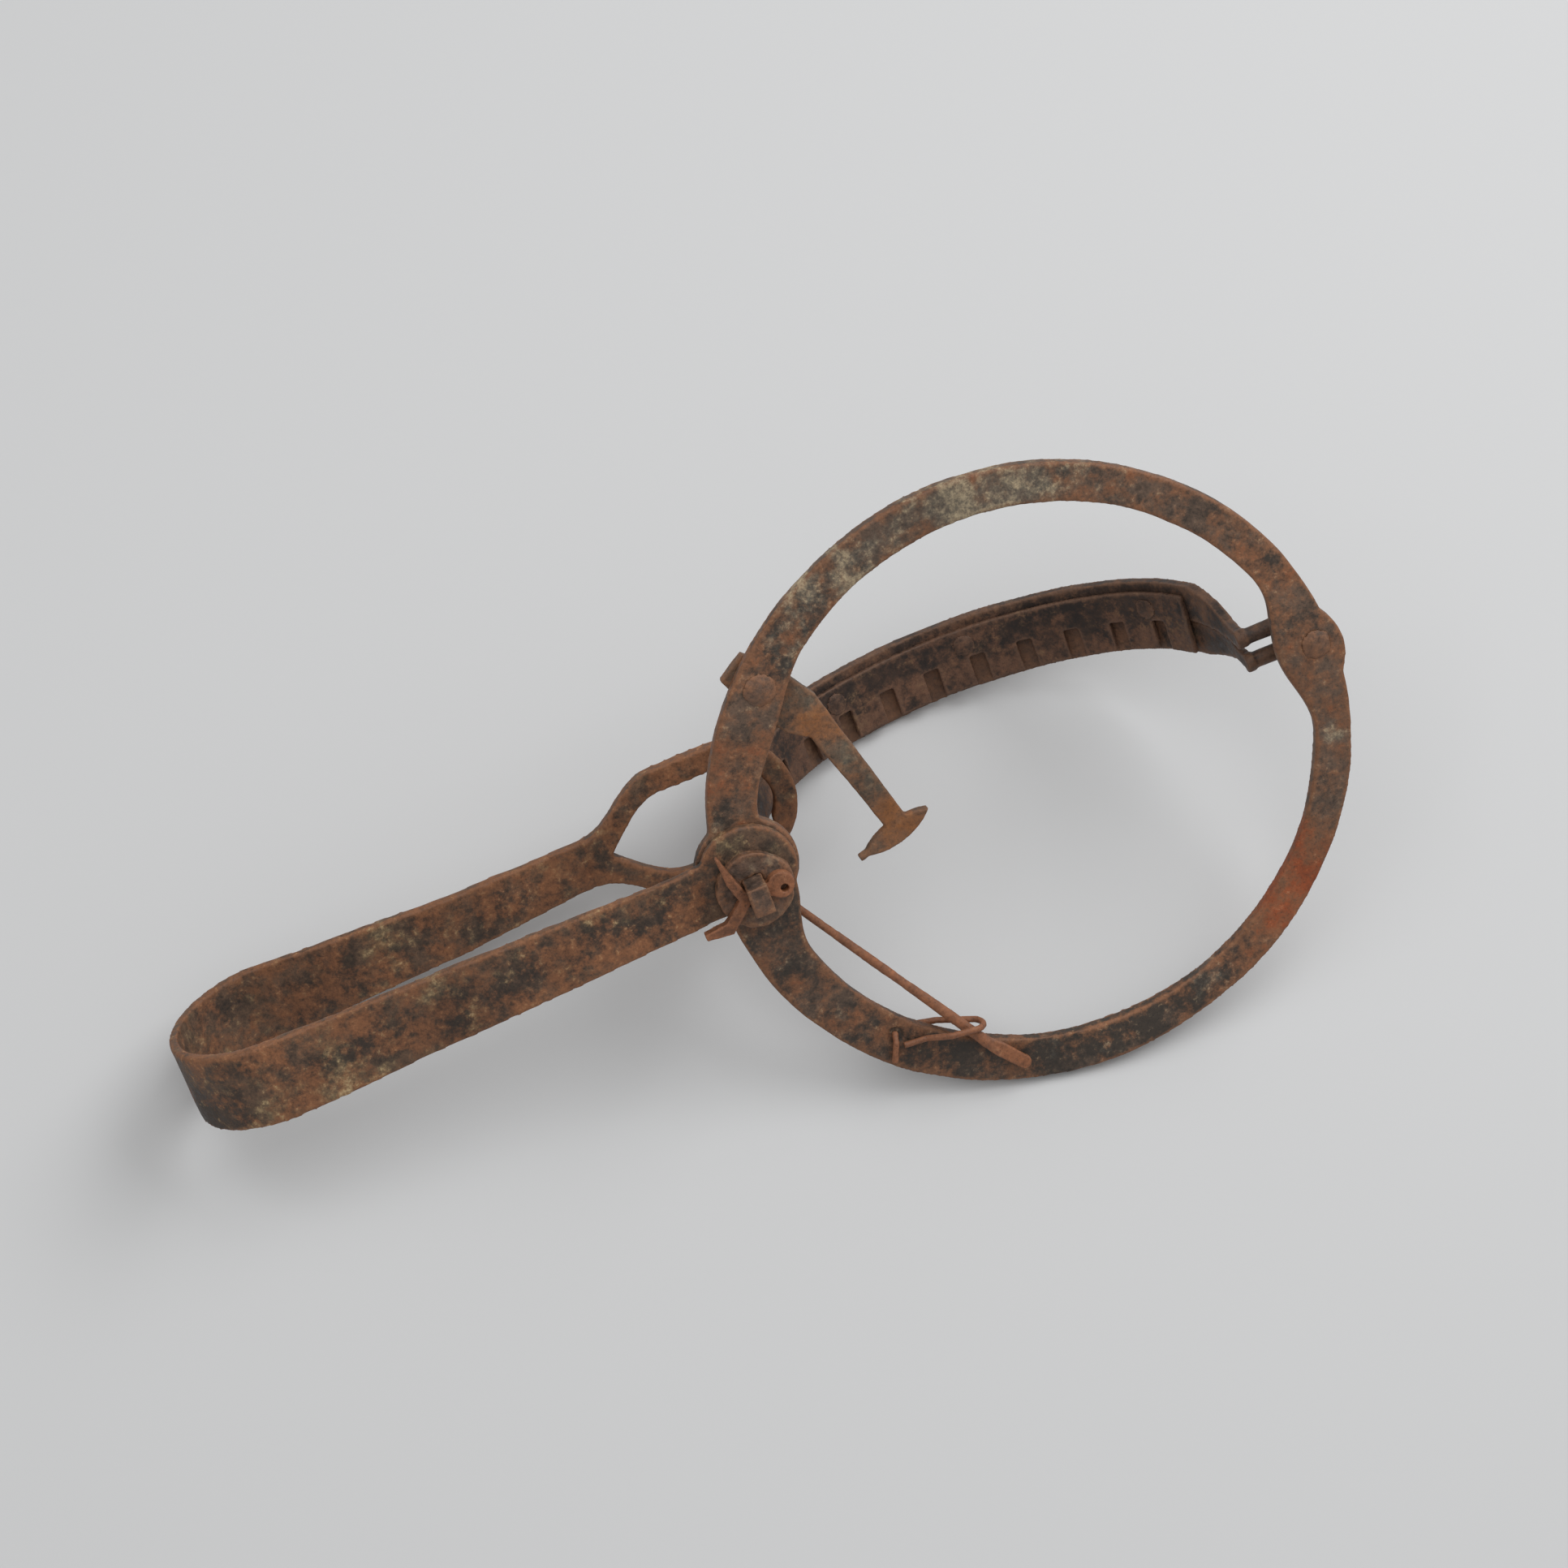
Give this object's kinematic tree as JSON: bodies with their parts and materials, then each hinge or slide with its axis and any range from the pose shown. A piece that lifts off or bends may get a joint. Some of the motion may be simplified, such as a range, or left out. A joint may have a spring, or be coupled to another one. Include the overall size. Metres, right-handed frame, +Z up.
{
  "type": "leghold trap",
  "caption": "Hand-forged iron leghold trap lying closed on its side: flat ring, hinged jaws with a toothed strip, long strap spring with an eye, pan arm and tied trigger dog.",
  "frame": {"origin": "middle of the lying trap's plan, on the floor", "axes": "+X from the spring to the far post, +Z up, +Y away from the ring's underside"},
  "size_m": [0.4692, 0.1936, 0.1836],
  "materials": {
    "ring_iron": "hammered wrought iron, brown-black rust",
    "forged_iron": "hammered wrought iron, brown rust",
    "jaw_iron": "hammered wrought iron, brown rust with grey bloom",
    "strip_iron": "thin sheared strip, dark rust",
    "spring_steel": "forged spring strap, mottled rust",
    "arm_iron": "flat bar, grey-brown rust with orange patches",
    "wire_iron": "soft iron wire and strip, orange-brown rust"
  },
  "bodies": {
    "base": {"base_ring": "ring_iron", "near_post": "forged_iron", "far_post": "forged_iron", "spring_lower_leaf": "spring_steel", "spring_washer": "forged_iron", "cotter": "wire_iron", "pan_arm": "arm_iron", "pan_arm_rivet": "forged_iron", "dog_link": "wire_iron"},
    "jaw_a": {"jaw_upper": "jaw_iron", "tooth_strip": "strip_iron", "strip_rivets": "strip_iron"},
    "jaw_b": {"jaw_lower": "jaw_iron"},
    "spring": {"spring_upper_leaf": "spring_steel"},
    "dog": {"dog_rod": "wire_iron"}
  },
  "joints": [
    {"name": "jaw_upper_open", "type": "hinge", "parent": "base", "child": "jaw_a", "pos_m": [0.10849, 0.01667, 0.0908], "axis": [0.9878, 0, 0.1554], "range_deg": [0, 80]},
    {"name": "jaw_lower_open", "type": "hinge", "parent": "base", "child": "jaw_b", "pos_m": [0.10964, 0.00919, 0.08353], "axis": [-0.9878, 0, -0.1554], "range_deg": [0, 80]},
    {"name": "spring_press", "type": "hinge", "parent": "base", "child": "spring", "pos_m": [-0.19228, 0.03858, 0.01336], "axis": [0.109, -0.7128, -0.6928], "range_deg": [0, 14.5], "stiffness_Nm_per_rad": 40, "springref_deg": -14.32, "deforming": ["spring_upper_leaf"]},
    {"name": "dog_swing", "type": "hinge", "parent": "base", "child": "dog", "pos_m": [0.05759, -0.06924, 0.02622], "axis": [-0.9837, 0.1786, 0.0231], "range_deg": [0, 33]}
  ],
  "couplings": [
    {"joint": "jaw_lower_open", "follows": "jaw_upper_open", "ratio": 1},
    {"joint": "spring_press", "follows": "jaw_upper_open", "ratio": 0.18125}
  ]
}
